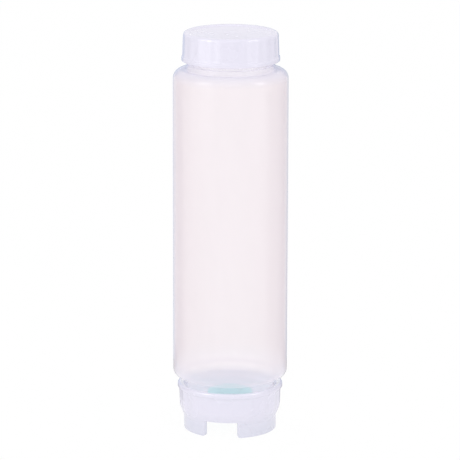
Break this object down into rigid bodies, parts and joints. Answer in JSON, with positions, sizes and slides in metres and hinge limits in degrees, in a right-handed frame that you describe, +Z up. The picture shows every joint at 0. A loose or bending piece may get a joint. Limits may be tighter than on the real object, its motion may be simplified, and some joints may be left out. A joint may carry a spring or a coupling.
{
  "type": "two-ended condiment squeeze bottle",
  "caption": "Translucent squeeze bottle that stands on its pouring cap, with a silicone valve inside that cap and a fluted screw cap on top for filling.",
  "frame": {"origin": "middle of the ring of legs, on the surface that the legs stand on", "axes": "+Z up along the bottle's axis, from the pouring cap to the filling cap; the middle of one gap between the legs faces -Y"},
  "size_m": [0.07, 0.07, 0.2472],
  "materials": {
    "natural_polyethylene": "translucent, satin, blow moulded",
    "white_polypropylene": "milky white, satin, injection moulded",
    "clear_silicone": "clear, satin",
    "teal_silicone": "teal, satin"
  },
  "bodies": {
    "bottle": {"bottle": "natural_polyethylene"},
    "fill_gasket": {"fill_gasket": "clear_silicone"},
    "fill_cap": {"fill_cap": "white_polypropylene"},
    "valve": {"valve": "teal_silicone"},
    "pour_cap": {"pour_cap": "white_polypropylene"},
    "valve_flap_1": {"valve_flap_1": "teal_silicone"},
    "valve_flap_2": {"valve_flap_2": "teal_silicone"},
    "valve_flap_3": {"valve_flap_3": "teal_silicone"},
    "valve_flap_4": {"valve_flap_4": "teal_silicone"}
  },
  "joints": [
    {"name": "fill_cap_lift", "type": "slide", "parent": "bottle", "child": "fill_gasket", "axis": [0, 0, 1], "range_m": [0, 0.01]},
    {"name": "fill_cap_turn", "type": "hinge", "parent": "fill_gasket", "child": "fill_cap", "pos_m": [0, 0, 0.2298], "axis": [0, 0, 1], "range_deg": [0, 720]},
    {"name": "pour_cap_drop", "type": "slide", "parent": "bottle", "child": "valve", "axis": [0, 0, -1], "range_m": [0, 0.01]},
    {"name": "pour_cap_turn", "type": "hinge", "parent": "valve", "child": "pour_cap", "pos_m": [0, 0, 0.0289], "axis": [0, 0, -1], "range_deg": [0, 720]},
    {"name": "flap_1_swing", "type": "hinge", "parent": "valve", "child": "valve_flap_1", "pos_m": [0.00649, 0, 0.0228], "axis": [0, -1, 0], "range_deg": [0, 45], "stiffness_Nm_per_rad": 0.002},
    {"name": "flap_2_swing", "type": "hinge", "parent": "valve", "child": "valve_flap_2", "pos_m": [0, 0.00649, 0.0228], "axis": [1, 0, 0], "range_deg": [0, 45], "stiffness_Nm_per_rad": 0.002},
    {"name": "flap_3_swing", "type": "hinge", "parent": "valve", "child": "valve_flap_3", "pos_m": [-0.00649, 0, 0.0228], "axis": [0, 1, 0], "range_deg": [0, 45], "stiffness_Nm_per_rad": 0.002},
    {"name": "flap_4_swing", "type": "hinge", "parent": "valve", "child": "valve_flap_4", "pos_m": [0, -0.00649, 0.0228], "axis": [-1, 0, 0], "range_deg": [0, 45], "stiffness_Nm_per_rad": 0.002}
  ],
  "couplings": [
    {"joint": "fill_cap_lift", "follows": "fill_cap_turn", "m_per_rad": 0.00079577},
    {"joint": "pour_cap_drop", "follows": "pour_cap_turn", "m_per_rad": 0.00079577},
    {"joint": "flap_2_swing", "follows": "flap_1_swing", "ratio": 1},
    {"joint": "flap_3_swing", "follows": "flap_1_swing", "ratio": 1},
    {"joint": "flap_4_swing", "follows": "flap_1_swing", "ratio": 1}
  ]
}
